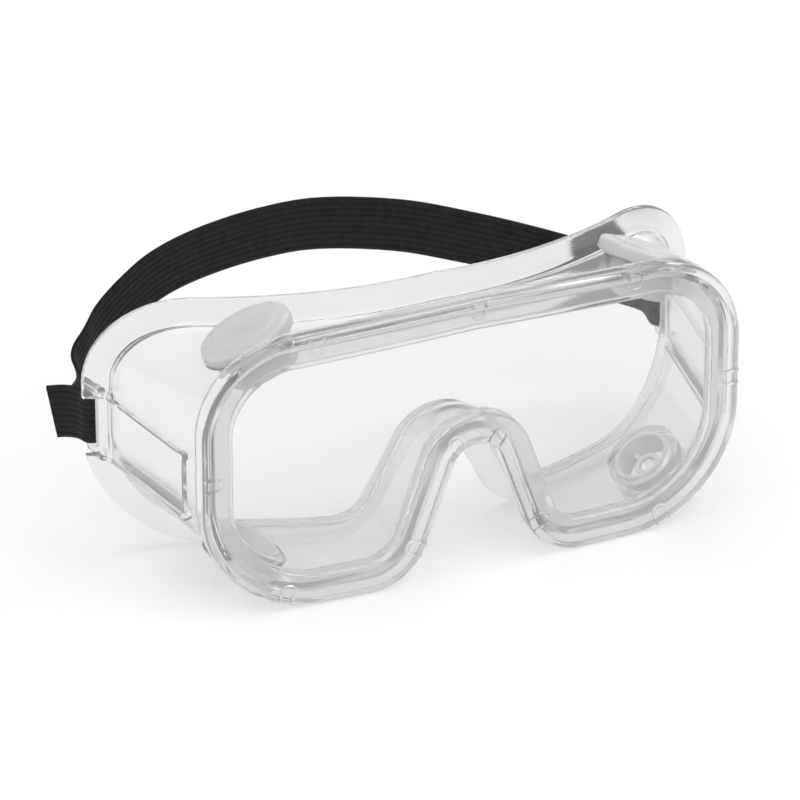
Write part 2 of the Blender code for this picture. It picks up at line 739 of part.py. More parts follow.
def main():
    """Builds the goggles."""
    clear_scene()
    parts = collection(PARTS)
    tools = collection(CUTTERS)
    clear_pvc = material("clear_soft_plastic", (0.88, 0.90, 0.90), 0.12, alpha=0.35, transmission=0.9)
    clear_lens = material("clear_lens", (0.93, 0.94, 0.94), 0.04, alpha=0.25, transmission=1.0)
    white = material("translucent_white", (0.93, 0.94, 0.94), 0.35)
    clear_vent = material("clear_vent_plastic", (0.90, 0.91, 0.91), 0.15, alpha=0.4, transmission=0.9)
    plastics = {1.0: white, -1.0: clear_vent}
    black = material("black_elastic", (0.03, 0.03, 0.032), 0.85)

    frame = frame_ring(parts, clear_pvc)
    add_ports(frame, tools)
    for hand, side in (("left", 1.0), ("right", -1.0)):
        add_lug(frame, hand, side, tools)
    pieces = [frame, lens(parts, clear_lens), headband(parts, black)]
    for name, sizes, seat in vent_places():
        length = sizes["bush_length"]
        pieces.append(vent_bush(f"vent_bush_{name}", length, seat, parts, tools, plastics[sizes["up"]]))
        pieces.append(vent_cap(f"vent_cap_{name}", sizes, seat, parts, plastics[sizes["up"]]))
    stand_on_origin(pieces, tools.objects)


main()
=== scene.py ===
"""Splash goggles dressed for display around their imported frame.

The frame gives every place: the lens gives the middle of the design, and each vent's cap gives its seat.
Design coordinates are metres from the middle of the lens's front, +X to the wearer's left, -Y forwards
and +Z up. Pieces are surfaces worked out on grids, joined where the real moulding is one piece.
"""

import json
import logging
import math
from dataclasses import dataclass, field
from enum import Enum

import bmesh
import bpy
import numpy as np
from mathutils import Matrix, Vector

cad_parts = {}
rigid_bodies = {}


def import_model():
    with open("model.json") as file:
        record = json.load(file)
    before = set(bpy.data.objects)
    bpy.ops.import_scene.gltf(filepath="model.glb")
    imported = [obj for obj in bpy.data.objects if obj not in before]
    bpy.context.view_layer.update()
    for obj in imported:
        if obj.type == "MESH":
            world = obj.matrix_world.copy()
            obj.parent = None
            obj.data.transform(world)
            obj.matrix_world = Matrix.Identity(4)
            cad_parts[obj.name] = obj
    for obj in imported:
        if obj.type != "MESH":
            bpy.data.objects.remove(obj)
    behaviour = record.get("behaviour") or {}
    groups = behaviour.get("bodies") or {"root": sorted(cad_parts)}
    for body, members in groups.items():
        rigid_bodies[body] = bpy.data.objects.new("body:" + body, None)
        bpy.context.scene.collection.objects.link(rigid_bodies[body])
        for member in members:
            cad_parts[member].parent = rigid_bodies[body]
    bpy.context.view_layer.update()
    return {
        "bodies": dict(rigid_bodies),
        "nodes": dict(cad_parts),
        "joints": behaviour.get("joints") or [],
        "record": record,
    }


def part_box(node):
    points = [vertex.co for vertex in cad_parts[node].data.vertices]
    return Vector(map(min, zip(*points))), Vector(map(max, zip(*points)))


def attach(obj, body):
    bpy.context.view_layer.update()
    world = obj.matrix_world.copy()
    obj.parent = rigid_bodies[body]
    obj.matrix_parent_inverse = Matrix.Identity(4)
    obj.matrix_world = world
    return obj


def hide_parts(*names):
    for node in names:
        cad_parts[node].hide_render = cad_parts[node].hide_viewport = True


LOG = logging.getLogger("goggles")
FIT_GAP = 0.0003


class Side(Enum):
    """The wearer's left is +X."""

    LEFT = 1.0
    RIGHT = -1.0


class Level(Enum):
    """The two kinds of vent; the value is the sign of the wall that they pierce."""

    UPPER = 1.0
    LOWER = -1.0


class Cut(Enum):
    """How one solid shapes another."""

    JOIN = "UNION"
    REMOVE = "DIFFERENCE"


# --- Grids and meshes ----------------------------------------------------------------------------

def grid_faces(rows: int, columns: int, close_rows: bool, close_columns: bool) -> np.ndarray:
    """Quads of a grid of vertices numbered row by row.

    Args:
        rows: number of rows.
        columns: vertices in each row.
        close_rows: joins the last row to the first.
        close_columns: joins the last column to the first.

    Returns:
        An array of four vertex numbers for each quad.
    """
    i = np.arange(rows if close_rows else rows - 1)[:, None]
    j = np.arange(columns if close_columns else columns - 1)[None, :]
    i_next, j_next = (i + 1) % rows, (j + 1) % columns
    quads = np.stack([
        i * columns + j, i * columns + j_next, i_next * columns + j_next, i_next * columns + j], axis=-1)
    return quads.reshape(-1, 4)


def new_object(name: str, points: np.ndarray, faces: list[list[int]]) -> bpy.types.Object:
    """Makes an object at the origin from points and faces, merged and facing outwards.

    Args:
        name: the object's name.
        points: an array of places, three numbers in the last axis.
        faces: vertex numbers of each face.

    Returns:
        The new object, linked to the scene.
    """
    mesh = bpy.data.meshes.new(name)
    mesh.from_pydata(points.reshape(-1, 3).tolist(), [], faces)
    bm = bmesh.new()
    bm.from_mesh(mesh)
    bmesh.ops.remove_doubles(bm, verts=bm.verts, dist=1e-7)
    bmesh.ops.recalc_face_normals(bm, faces=bm.faces)
    bm.to_mesh(mesh)
    bm.free()
    obj = bpy.data.objects.new(name, mesh)
    bpy.context.scene.collection.objects.link(obj)
    return obj


def swept_solid(name: str, rings: np.ndarray) -> bpy.types.Object:
    """Closes a stack of rings into a solid with a flat face at each end.

    Args:
        name: the object's name.
        rings: places with the axes ring, point on the ring and coordinate.

    Returns:
        The solid's object.
    """
    count, size = rings.shape[:2]
    faces = grid_faces(count, size, False, True).tolist()
    faces.append(list(range(size)))
    faces.append(list(range((count - 1) * size, count * size)))
    return new_object(name, rings, faces)


def spun_solid(name: str, profile: np.ndarray, sides: int, seat: Matrix, closed: bool) -> bpy.types.Object:
    """Turns a profile of radius and height about the seat's Z axis.

    Args:
        name: the object's name.
        profile: rows of radius and height.
        sides: points round the axis.
        seat: where the axis stands.
        closed: the profile is a loop; otherwise it starts and ends on the axis.

    Returns:
        The solid's object.
    """
    angles = np.linspace(0.0, math.tau, sides, endpoint=False)
    radius, height = profile[None, :, 0], profile[None, :, 1]
    points = np.stack([
        np.cos(angles)[:, None] * radius, np.sin(angles)[:, None] * radius,
        np.broadcast_to(height, (sides, profile.shape[0]))], axis=-1)
    return new_object(name, moved(points, seat), grid_faces(sides, profile.shape[0], True, closed).tolist())


def moved(points: np.ndarray, place: Matrix) -> np.ndarray:
    """Carries points, whose last axis is a place, by a matrix."""
    matrix = np.array(place)
    return points @ matrix[:3, :3].T + matrix[:3, 3]


def rounded(controls: np.ndarray, cuts: list[float], steps: int, closed: bool) -> np.ndarray:
    """Rounds the corners of polylines with quadratic arcs.

    Each corner P with a cut d becomes the curve (1-t)^2 A + 2t(1-t) P + t^2 B, where A and B lie d from P
    on the edges before and after it. A cut of nought keeps the corner as one point.

    Args:
        controls: places with the axes line, corner and coordinate.
        cuts: the cut at each corner.
        steps: points on each rounded corner.
        closed: the last corner joins the first.

    Returns:
        The finer places, with the same axes.
    """
    count = controls.shape[1]
    t = np.linspace(0.0, 1.0, steps)[None, :, None]
    pieces = []
    for index, cut in enumerate(cuts):
        corner = controls[:, index]
        if cut == 0.0 or (not closed and index in (0, count - 1)):
            pieces.append(corner[:, None])
            continue
        ends = []
        for other in (controls[:, index - 1], controls[:, (index + 1) % count]):
            edge = other - corner
            length = np.linalg.norm(edge, axis=-1, keepdims=True)
            reach = np.minimum(cut, length * 0.48)
            ends.append((corner + edge / np.maximum(length, 1e-9) * reach)[:, None])
        pieces.append((1 - t) ** 2 * ends[0] + 2 * t * (1 - t) * corner[:, None] + t ** 2 * ends[1])
    return np.concatenate(pieces, axis=1)


def slab(name: str, low: Vector, high: Vector, corner: float, edge: float, place: Matrix) -> bpy.types.Object:
    """A plate whose outline, in Y and Z, has round corners and whose two faces have eased edges.

    Args:
        name: the object's name.
        low: the lowest corner in the plate's own axes.
        high: the highest corner.
        corner: radius of the outline's corners.
        edge: how far the edges of the faces are eased.
        place: the plate's axes.

    Returns:
        The plate's object.
    """
    centre, half = (low + high) / 2.0, (high - low) / 2.0
    angles = np.linspace(0.0, math.tau, 48, endpoint=False) + math.tau / 96
    rings = []
    for x, inset in ((low.x, edge), (low.x + edge, 0.0), (high.x - edge, 0.0), (high.x, edge)):
        radius = max(corner - inset, corner * 0.3)
        reach_y, reach_z = half.y - inset - radius, half.z - inset - radius
        y = centre.y + np.sign(np.cos(angles)) * reach_y + np.cos(angles) * radius
        z = centre.z + np.sign(np.sin(angles)) * reach_z + np.sin(angles) * radius
        rings.append(np.stack([np.full_like(y, x), y, z], axis=-1))
    return swept_solid(name, moved(np.array(rings), place))


def bead(name: str, path: np.ndarray, radius: float, closed: bool, sides: int = 10) -> bpy.types.Object:
    """A round bead along a path.

    Each ring is the path's point plus radius times cos a of one side direction and sin a of another, both
    square to the path's run there.

    Args:
        name: the object's name.
        path: places along the bead's middle.
        radius: the bead's radius.
        closed: the path is a loop.
        sides: points round the bead.

    Returns:
        The bead's object.
    """
    if closed:
        run = np.roll(path, -1, axis=0) - np.roll(path, 1, axis=0)
    else:
        run = np.gradient(path, axis=0)
    run /= np.linalg.norm(run, axis=1, keepdims=True)
    first = np.cross(run, (0.13, 0.97, 0.21))
    first /= np.linalg.norm(first, axis=1, keepdims=True)
    second = np.cross(run, first)
    angles = np.linspace(0.0, math.tau, sides, endpoint=False)[None, :, None]
    rings = path[:, None] + radius * (np.cos(angles) * first[:, None] + np.sin(angles) * second[:, None])
    if closed:
        return new_object(name, rings, grid_faces(len(path), sides, True, True).tolist())
    return swept_solid(name, rings)


def shape(target: bpy.types.Object, tools: list[tuple[bpy.types.Object, Cut]], sharp: float) -> None:
    """Joins tools to a solid or removes them from it, then smooths its shading.

    Args:
        target: the solid.
        tools: each tool with what it does; the tools are deleted.
        sharp: edges that turn more than this angle stay sharp.
    """
    for tool, cut in tools:
        modifier = target.modifiers.new(tool.name, "BOOLEAN")
        modifier.operation = cut.value
        modifier.solver = "MANIFOLD"
        modifier.object = tool
    if tools:
        depsgraph = bpy.context.evaluated_depsgraph_get()
        mesh = bpy.data.meshes.new_from_object(target.evaluated_get(depsgraph), depsgraph=depsgraph)
        mesh.name = target.name
        target.modifiers.clear()
        target.data = mesh
    for tool, _cut in tools:
        bpy.data.objects.remove(tool, do_unlink=True)
    target.data.shade_smooth()
    target.data.set_sharp_from_angle(angle=sharp)


# --- Finishes ------------------------------------------------------------------------------------

def link(tree: bpy.types.NodeTree, source: bpy.types.NodeSocket, target: bpy.types.NodeSocket) -> None:
    """Joins two sockets."""
    tree.links.new(source, target)


def moulded_skin() -> bpy.types.ShaderNodeTree:
    """The slight unevenness of a moulded plastic skin.

    Inputs: Vector, Swell (waves to the metre), Grain (specks to the metre), Smoothest and Roughest.
    Outputs: Height, from two noises, and Roughness, which drifts between the two given values.

    Returns:
        The group's node tree.
    """
    tree = bpy.data.node_groups.new("moulded_skin", "ShaderNodeTree")
    for name, kind, value in (
            ("Vector", "NodeSocketVector", None), ("Swell", "NodeSocketFloat", 60.0),
            ("Grain", "NodeSocketFloat", 900.0), ("Smoothest", "NodeSocketFloat", 0.1),
            ("Roughest", "NodeSocketFloat", 0.2)):
        socket = tree.interface.new_socket(name, in_out="INPUT", socket_type=kind)
        if value is not None:
            socket.default_value = value
    tree.interface.new_socket("Height", in_out="OUTPUT", socket_type="NodeSocketFloat")
    tree.interface.new_socket("Roughness", in_out="OUTPUT", socket_type="NodeSocketFloat")
    start, end = tree.nodes.new("NodeGroupInput"), tree.nodes.new("NodeGroupOutput")
    swell, grain = tree.nodes.new("ShaderNodeTexNoise"), tree.nodes.new("ShaderNodeTexNoise")
    for noise, name in ((swell, "Swell"), (grain, "Grain")):
        noise.inputs["Detail"].default_value = 2.0
        link(tree, start.outputs["Vector"], noise.inputs["Vector"])
        link(tree, start.outputs[name], noise.inputs["Scale"])
    weighted = tree.nodes.new("ShaderNodeMath")
    weighted.operation = "MULTIPLY_ADD"
    weighted.inputs[1].default_value = 0.06
    link(tree, grain.outputs["Fac"], weighted.inputs[0])
    link(tree, swell.outputs["Fac"], weighted.inputs[2])
    link(tree, weighted.outputs["Value"], end.inputs["Height"])
    spread = tree.nodes.new("ShaderNodeMapRange")
    spread.inputs["From Min"].default_value = 0.3
    spread.inputs["From Max"].default_value = 0.7
    link(tree, swell.outputs["Fac"], spread.inputs["Value"])
    link(tree, start.outputs["Smoothest"], spread.inputs["To Min"])
    link(tree, start.outputs["Roughest"], spread.inputs["To Max"])
    link(tree, spread.outputs["Result"], end.inputs["Roughness"])
    return tree


def knitted_rib() -> bpy.types.ShaderNodeTree:
    """The knit of a flat elastic: rubber cords under rows of slanted stitches.

    Inputs: Vector (across and along, both in band widths), Ribs (cords across the band) and Rows (stitches
    to a band width). Outputs: Height, cord times stitch, and Shade, a slow mottle in the colour of the knitted
    thread plus painted shade, darker in the knit's grooves where the height is low.

    Returns:
        The group's node tree.
    """
    tree = bpy.data.node_groups.new("knitted_rib", "ShaderNodeTree")
    tree.interface.new_socket("Vector", in_out="INPUT", socket_type="NodeSocketVector")
    for name, value in (("Ribs", 9.0), ("Rows", 26.0)):
        socket = tree.interface.new_socket(name, in_out="INPUT", socket_type="NodeSocketFloat")
        socket.default_value = value
    tree.interface.new_socket("Height", in_out="OUTPUT", socket_type="NodeSocketFloat")
    tree.interface.new_socket("Shade", in_out="OUTPUT", socket_type="NodeSocketFloat")
    start, end = tree.nodes.new("NodeGroupInput"), tree.nodes.new("NodeGroupOutput")

    def maths(kind: str, *values: object) -> bpy.types.NodeSocket:
        """One Math node; each value is a socket or a number."""
        node = tree.nodes.new("ShaderNodeMath")
        node.operation = kind
        for socket, value in zip(node.inputs, values):
            if isinstance(value, bpy.types.NodeSocket):
                link(tree, value, socket)
            else:
                socket.default_value = value
        return node.outputs["Value"]

    parts = tree.nodes.new("ShaderNodeSeparateXYZ")
    link(tree, start.outputs["Vector"], parts.inputs["Vector"])
    across = maths("MULTIPLY", parts.outputs["X"], start.outputs["Ribs"])
    cord = maths("ABSOLUTE", maths("SINE", maths("MULTIPLY", across, math.pi)))
    slant = maths("MULTIPLY", maths("PINGPONG", across, 0.5), 0.9)
    along = maths("MULTIPLY", maths("MULTIPLY_ADD", parts.outputs["Y"], start.outputs["Rows"], slant), math.tau)
    stitch = maths("MULTIPLY_ADD", maths("SINE", along), 0.5, 0.5)
    height = maths("MULTIPLY", maths("POWER", cord, 0.6), maths("MULTIPLY_ADD", stitch, 0.55, 0.45))
    mottle = tree.nodes.new("ShaderNodeTexNoise")
    mottle.inputs["Scale"].default_value = 7.0
    mottle.inputs["Detail"].default_value = 6.0
    link(tree, start.outputs["Vector"], mottle.inputs["Vector"])
    # Shade is the thread's slow mottle plus painted shade that darkens the colour in the knit's grooves, where the
    # height is low.
    shade = maths("MULTIPLY_ADD", mottle.outputs["Fac"], 0.6, maths("MULTIPLY", height, 0.4))
    link(tree, height, end.inputs["Height"])
    link(tree, shade, end.inputs["Shade"])
    return tree


class Workshop:
    """Holds the shared shader groups and starts each material."""

    def __init__(self) -> None:
        """Builds the groups once."""
        self.skin = moulded_skin()
        self.knit = knitted_rib()

    def start(self, name: str) -> tuple[bpy.types.Material, bpy.types.NodeTree, bpy.types.Node]:
        """Makes an empty Principled material.

        Args:
            name: the material's name.

        Returns:
            The material, its node tree and its shader.
        """
        material = bpy.data.materials.new(name)
        material.use_nodes = True
        tree = material.node_tree
        return material, tree, tree.nodes["Principled BSDF"]

    def add_skin(self, tree: bpy.types.NodeTree, shader: bpy.types.Node, swell: float, grain: float,
                 smoothest: float, roughest: float, strength: float, depth: float) -> None:
        """Puts the moulded skin on a shader.

        Args:
            tree: the material's tree.
            shader: the Principled shader.
            swell: waves to the metre.
            grain: specks to the metre.
            smoothest: the lowest roughness.
            roughest: the highest roughness.
            strength: how strongly the bump shows.
            depth: the bump's depth in metres.
        """
        place = tree.nodes.new("ShaderNodeTexCoord")
        group = tree.nodes.new("ShaderNodeGroup")
        group.node_tree = self.skin
        for name, value in (
                ("Swell", swell), ("Grain", grain), ("Smoothest", smoothest), ("Roughest", roughest)):
            group.inputs[name].default_value = value
        link(tree, place.outputs["Object"], group.inputs["Vector"])
        link(tree, group.outputs["Roughness"], shader.inputs["Roughness"])
        bump = tree.nodes.new("ShaderNodeBump")
        bump.inputs["Strength"].default_value = strength
        bump.inputs["Distance"].default_value = depth
        link(tree, group.outputs["Height"], bump.inputs["Height"])
        link(tree, bump.outputs["Normal"], shader.inputs["Normal"])


@dataclass(frozen=True)
class ClearPlastic:
    """A clear plastic with a little haze in it."""

    name: str
    colour: tuple[float, float, float]
    clarity: float
    index: float
    swell: float
    smoothest: float
    roughest: float
    depth: float

    def make(self, shop: Workshop) -> bpy.types.Material:
        """Builds the material."""
        material, tree, shader = shop.start(self.name)
        shader.inputs["Base Color"].default_value = (*self.colour, 1.0)
        shader.inputs["Transmission Weight"].default_value = self.clarity
        shader.inputs["IOR"].default_value = self.index
        shop.add_skin(tree, shader, self.swell, 1500.0, self.smoothest, self.roughest, 0.35, self.depth)
        return material


@dataclass(frozen=True)
class WhitePlastic:
    """The milky plastic of the vents."""

    colour: tuple[float, float, float] = (0.93, 0.935, 0.94)
    clarity: float = 0.50
    glow: float = 0.25
    glow_depth: float = 0.0012

    def make(self, shop: Workshop) -> bpy.types.Material:
        """Builds the material."""
        material, tree, shader = shop.start("milky_vent_plastic")
        shader.inputs["Base Color"].default_value = (*self.colour, 1.0)
        shader.inputs["Transmission Weight"].default_value = self.clarity
        shader.inputs["Subsurface Weight"].default_value = self.glow
        shader.inputs["Subsurface Scale"].default_value = self.glow_depth
        shader.inputs["Coat Weight"].default_value = 0.15
        shader.inputs["Coat Roughness"].default_value = 0.2
        shop.add_skin(tree, shader, 90.0, 2600.0, 0.24, 0.36, 0.25, 0.0002)
        return material


@dataclass(frozen=True)
class BlackElastic:
    """The headband's knitted elastic."""

    dark: tuple[float, float, float] = (0.004, 0.004, 0.0045)
    light: tuple[float, float, float] = (0.022, 0.022, 0.023)
    ribs: float = 9.0
    rows: float = 26.0

    def make(self, shop: Workshop) -> bpy.types.Material:
        """Builds the material, whose pattern follows the band's own UV map."""
        material, tree, shader = shop.start("black_knitted_elastic")
        shader.inputs["Roughness"].default_value = 0.82
        shader.inputs["Sheen Weight"].default_value = 0.06
        shader.inputs["Specular IOR Level"].default_value = 0.25
        shader.inputs["Sheen Roughness"].default_value = 0.45
        place = tree.nodes.new("ShaderNodeUVMap")
        place.uv_map = "band"
        group = tree.nodes.new("ShaderNodeGroup")
        group.node_tree = shop.knit
        group.inputs["Ribs"].default_value = self.ribs
        group.inputs["Rows"].default_value = self.rows
        link(tree, place.outputs["UV"], group.inputs["Vector"])
        # The ramp turns the thread's mottle and the painted groove shade into the band's colour, darkest in the
        # knit's grooves.
        yarn_and_groove_shade = tree.nodes.new("ShaderNodeValToRGB")
        yarn_and_groove_shade.color_ramp.elements[0].position = 0.25
        yarn_and_groove_shade.color_ramp.elements[0].color = (*self.dark, 1.0)
        yarn_and_groove_shade.color_ramp.elements[1].position = 0.75
        yarn_and_groove_shade.color_ramp.elements[1].color = (*self.light, 1.0)
        link(tree, group.outputs["Shade"], yarn_and_groove_shade.inputs["Fac"])
        link(tree, yarn_and_groove_shade.outputs["Color"], shader.inputs["Base Color"])
        bump = tree.nodes.new("ShaderNodeBump")
        bump.inputs["Strength"].default_value = 0.8
        bump.inputs["Distance"].default_value = 0.0002
        link(tree, group.outputs["Height"], bump.inputs["Height"])
        link(tree, bump.outputs["Normal"], shader.inputs["Normal"])
        return material


# --- The frame's shape ---------------------------------------------------------------------------

@dataclass(frozen=True)
class Outline:
    """Half of a symmetric outline in X and Z, from the top centre clockwise to the nose apex."""

    corners: tuple[tuple[float, float], ...]
    radii: tuple[float, ...]
    runs: tuple[int, ...] = (48, 24, 32, 16)
    arcs: tuple[int, ...] = (49, 49, 35, 28)

    def half(self) -> tuple[np.ndarray, np.ndarray]:
        """Straight runs and round corners in turn.

        A run's points share its left-hand normal. A corner's normal turns evenly through its angle, and
        its point is the arc's centre less the normal times the radius, on the side that it turns to.

        Returns:
            The points and their outward normals.
        """
        points, normals = [], []
        ends = [np.array(corner) for corner in self.corners]
        ends.append(ends[-2] * (-1.0, 1.0))
        start = ends[0]
        for index, radius in enumerate(self.radii, start=1):
            d_in, d_out = ends[index] - ends[index - 1], ends[index + 1] - ends[index]
            d_in, d_out = d_in / np.linalg.norm(d_in), d_out / np.linalg.norm(d_out)
            angle = math.atan2(d_in[0] * d_out[1] - d_in[1] * d_out[0], float(d_in @ d_out))
            reach = radius * math.tan(abs(angle) / 2.0)
            side = math.copysign(1.0, angle)
            n_in = np.array((-d_in[1], d_in[0]))
            arc_start = ends[index] - d_in * reach
            centre = arc_start + n_in * radius * side
            share = np.arange(self.runs[index - 1])[:, None] / self.runs[index - 1]
            points.append(start + (arc_start - start) * share)
            normals.append(np.repeat(n_in[None], len(share), axis=0))
            last = index == len(self.radii)
            turned = np.arange(self.arcs[index - 1] + last) / self.arcs[index - 1]
            turned = turned * angle * (0.5 if last else 1.0)
            normal = np.stack([
                np.cos(turned) * n_in[0] - np.sin(turned) * n_in[1],
                np.sin(turned) * n_in[0] + np.cos(turned) * n_in[1]], axis=-1)
            points.append(centre - normal * radius * side)
            normals.append(normal)
            start = ends[index] + d_out * reach
        normals[0][0] = (0.0, 1.0)
        return np.concatenate(points), np.concatenate(normals)

    def loop(self) -> tuple[np.ndarray, np.ndarray]:
        """The half outline and its mirror image as one closed loop of points and normals."""
        flip = np.array((-1.0, 1.0))
        points, normals = self.half()
        return (np.concatenate([points, points[-2:0:-1] * flip]),
                np.concatenate([normals, normals[-2:0:-1] * flip]))


@dataclass
class FrameShape:
    """The sizes of the soft frame and the surfaces that follow from them."""

    half_width: float = 0.0800
    top: float = 0.0415
    top_fall: float = 0.0022
    bottom: float = -0.0420
    lobe_inner: float = 0.0193
    nose_apex: float = 0.0127
    sag: float = 0.0025
    lip_width: float = 0.0090
    lip: float = 0.0016
    groove_edge: float = 0.0040
    rim_depth: float = 0.0052
    wall_step: float = 0.0030
    wall: float = 0.0020
    waist: float = 0.0024
    lens_thickness: float = 0.0016
    flare: float = 0.0050
    brow_drop: float = 0.0115
    brow_drop_corner: float = 0.0131
    nose_rise: float = -0.0020
    depth_centre: float = 0.0270
    depth_temple: float = 0.0580
    flange: float = 0.0066
    flange_thickness: float = 0.0017
    flange_sweep: float = 0.0012
    rear_lobe_inner: float = 0.0240
    rim_radii: tuple[float, ...] = (0.0270, 0.0350, 0.0180, 0.0076)
    rear_radii: tuple[float, ...] = (0.0210, 0.0270, 0.0120, 0.0125)

    def rim(self) -> Outline:
        """Outer edge of the front rim."""
        return Outline(
            ((0.0, self.top), (self.half_width, self.top - self.top_fall),
             (self.half_width, self.bottom), (self.lobe_inner, self.bottom), (0.0, self.nose_apex)),
            self.rim_radii)

    def rear(self) -> Outline:
        """Line where the wall turns out into the face flange."""
        side, bottom = self.half_width + self.flare, self.bottom + self.flange
        return Outline(
            ((0.0, self.top - self.brow_drop), (side, self.top - self.top_fall - self.brow_drop_corner),
             (side, bottom), (self.rear_lobe_inner, bottom), (0.0, self.nose_apex + self.nose_rise)),
            self.rear_radii)

    def front_y(self, x: np.ndarray) -> np.ndarray:
        """Depth of the front: the sag times the square of the share of the half width."""
        return self.sag * (x / self.half_width) ** 2

    def rear_y(self, x: np.ndarray) -> np.ndarray:
        """Depth of the rear opening, a parabola from the brow to the temples."""
        spread = self.depth_temple - self.depth_centre
        return self.depth_centre + spread * (x / (self.half_width + self.flare)) ** 2

    def wall_height(self, x: np.ndarray, depth: np.ndarray, up: float) -> np.ndarray:
        """Height of the wall's outer face, between the rim's and the rear opening's, less the waist's dip.

        Args:
            x: places across.
            depth: depths behind the front.
            up: 1 for the brow wall and -1 for the cheek wall.

        Returns:
            The heights.
        """
        heights = []
        for outline in (self.rim(), self.rear()):
            points, normals = outline.half()
            faced = points[normals[:, 1] * up > 0.0]
            faced = faced[np.argsort(faced[:, 0])]
            heights.append(np.interp(np.abs(x), faced[:, 0], faced[:, 1]))
        start = self.front_y(x) + self.rim_depth
        share = (depth - start) / (self.rear_y(x) - self.wall - start)
        front = heights[0] - up * self.wall_step
        return front + (heights[1] - front) * share - up * self.waist * 4.0 * share * (1.0 - share)


@dataclass
class StrapPad:
    """The flat pad on each temple with its ribs, and the slotted lug behind the flange."""

    centre_z: float = -0.0062
    bar_setback: float = 0.0082
    front_setback: float = 0.0092
    half_slot: float = 0.0088
    margin: float = 0.0004
    raise_pad: float = 0.0006
    raise_rib: float = 0.0008
    rib_width: float = 0.0012
    knob: float = 0.0016
    bar: float = 0.0023
    plate: float = 0.0023
    end_height: float = 0.0024
    slot_length: float = 0.0044
    notch_reach: float = 0.0140

    def place(self, body: FrameShape, side: Side) -> Matrix:
        """Axes at the middle of the lug's bar: +X outwards, +Y back along the wall, +Z up."""
        front_x, front_depth = body.half_width - body.wall_step, body.rim_depth + body.sag
        lean = math.atan2(body.flare + body.wall_step, body.depth_temple - body.wall - front_depth)
        depth = body.depth_temple + self.bar_setback
        bar_x = front_x + (depth - front_depth) * math.tan(lean)
        back = Vector((side.value * math.sin(lean), math.cos(lean), 0.0))
        out = Vector((side.value * math.cos(lean), -math.sin(lean), 0.0))
        axes = Matrix((out, back, Vector((0.0, 0.0, 1.0)))).transposed().to_4x4()
        return Matrix.Translation((side.value * bar_x, depth, self.centre_z)) @ axes

    def tools(self, body: FrameShape, side: Side, design: Matrix) -> list[tuple[bpy.types.Object, Cut]]:
        """The solids that mould the pad, its ribs and knobs and the lug, and the slot through the lug.

        Args:
            body: the frame's sizes.
            side: which temple.
            design: where the design stands in the world.

        Returns:
            Each solid with what it does to the frame.
        """
        place = design @ self.place(body, side)
        half_lug, half_pad = self.half_slot + self.end_height, self.half_slot + self.margin
        front = -(body.depth_temple + self.bar_setback - body.rim_depth - body.sag - self.front_setback)
        root, top, end = -body.wall * 0.6, self.raise_pad + self.raise_rib, -self.half_slot
        half_rib, half_plate, half_bar = self.rib_width / 2.0, self.plate / 2.0, self.bar / 2.0
        tools = [
            (slab("pad", Vector((root, front, -half_pad)), Vector((self.raise_pad, end, half_pad)),
                  0.0006, 0.0002, place), Cut.JOIN),
            (slab("lug", Vector((-half_plate, end - self.bar * 1.5, -half_lug)),
                  Vector((half_plate, half_bar, half_lug)), 0.0016, 0.0005, place), Cut.JOIN),
            (slab("front_rib", Vector((root - FIT_GAP, front - half_rib, -half_pad)),
                  Vector((top, front + half_rib, half_pad)), 0.0003, 0.0003, place), Cut.JOIN),
        ]
        for z in (half_pad, -half_pad):
            tools.append((slab(
                "rib", Vector((root - FIT_GAP * 2.0, front - half_rib * 1.5, z - half_rib)),
                Vector((top + 0.0001, end - self.rib_width, z + half_rib)), 0.0003, 0.0003, place), Cut.JOIN))
            tools.append((slab(
                "knob", Vector((root, front - self.knob, z - self.knob * 0.75)),
                Vector((top + 0.0003, front + self.knob, z + self.knob * 0.75)), 0.0008, 0.0004, place),
                Cut.JOIN))
        tools.append((slab(
            "notch", Vector((half_plate + FIT_GAP / 3.0, end - self.bar * 1.2, -self.half_slot)),
            Vector((self.notch_reach, -half_bar, self.half_slot)), 0.0012, 0.0002, place), Cut.REMOVE))
        tools.append((slab(
            "slot", Vector((-self.plate, -self.slot_length, -self.half_slot)),
            Vector((self.plate, -half_bar, self.half_slot)), 0.0007, 0.0001, place), Cut.REMOVE))
        return tools


@dataclass
class RimMarks:
    """The U-shaped moulding marks round the rim, each at a share of a direction round the outline."""

    places: tuple[tuple[float, float], ...] = (
        (0.0, 0.0415), (0.0468, 0.0402), (0.0800, 0.0006), (0.0573, -0.0420), (0.0215, -0.0290),
        (0.0075, 0.0000))
    half_width: float = 0.0019
    length: float = 0.0058
    radius: float = 0.00050
    lift: float = 0.00015

    def tools(self, body: FrameShape, design: Matrix) -> list[tuple[bpy.types.Object, Cut]]:
        """A bead for each mark: two legs in from the outer edge and a half circle between their ends.

        Args:
            body: the frame's sizes.
            design: where the design stands in the world.

        Returns:
            Each bead with what it does to the frame.
        """
        points, normals = body.rim().half()
        turn = np.linspace(0.0, math.pi, 13)
        leg = np.linspace(0.0006, self.length - self.half_width, 5)
        across = np.concatenate([np.full(5, -1.0), -np.cos(turn[1:-1]), np.full(5, 1.0)]) * self.half_width
        inward = np.concatenate([leg, leg[-1] + np.sin(turn[1:-1]) * self.half_width, leg[::-1]])
        tools = []
        for x, z in self.places:
            nearest = np.argmin(np.linalg.norm(points - (x, z), axis=1))
            edge, out = points[nearest], normals[nearest]
            along = np.array((out[1], -out[0]))
            flat = edge + across[:, None] * along - inward[:, None] * out
            for side in ((1.0,) if x == 0.0 else (1.0, -1.0)):
                path = np.stack([flat[:, 0] * side, body.front_y(flat[:, 0]) - self.lift, flat[:, 1]], axis=-1)
                tools.append((bead("mark", moved(path, design), self.radius, False), Cut.JOIN))
        return tools


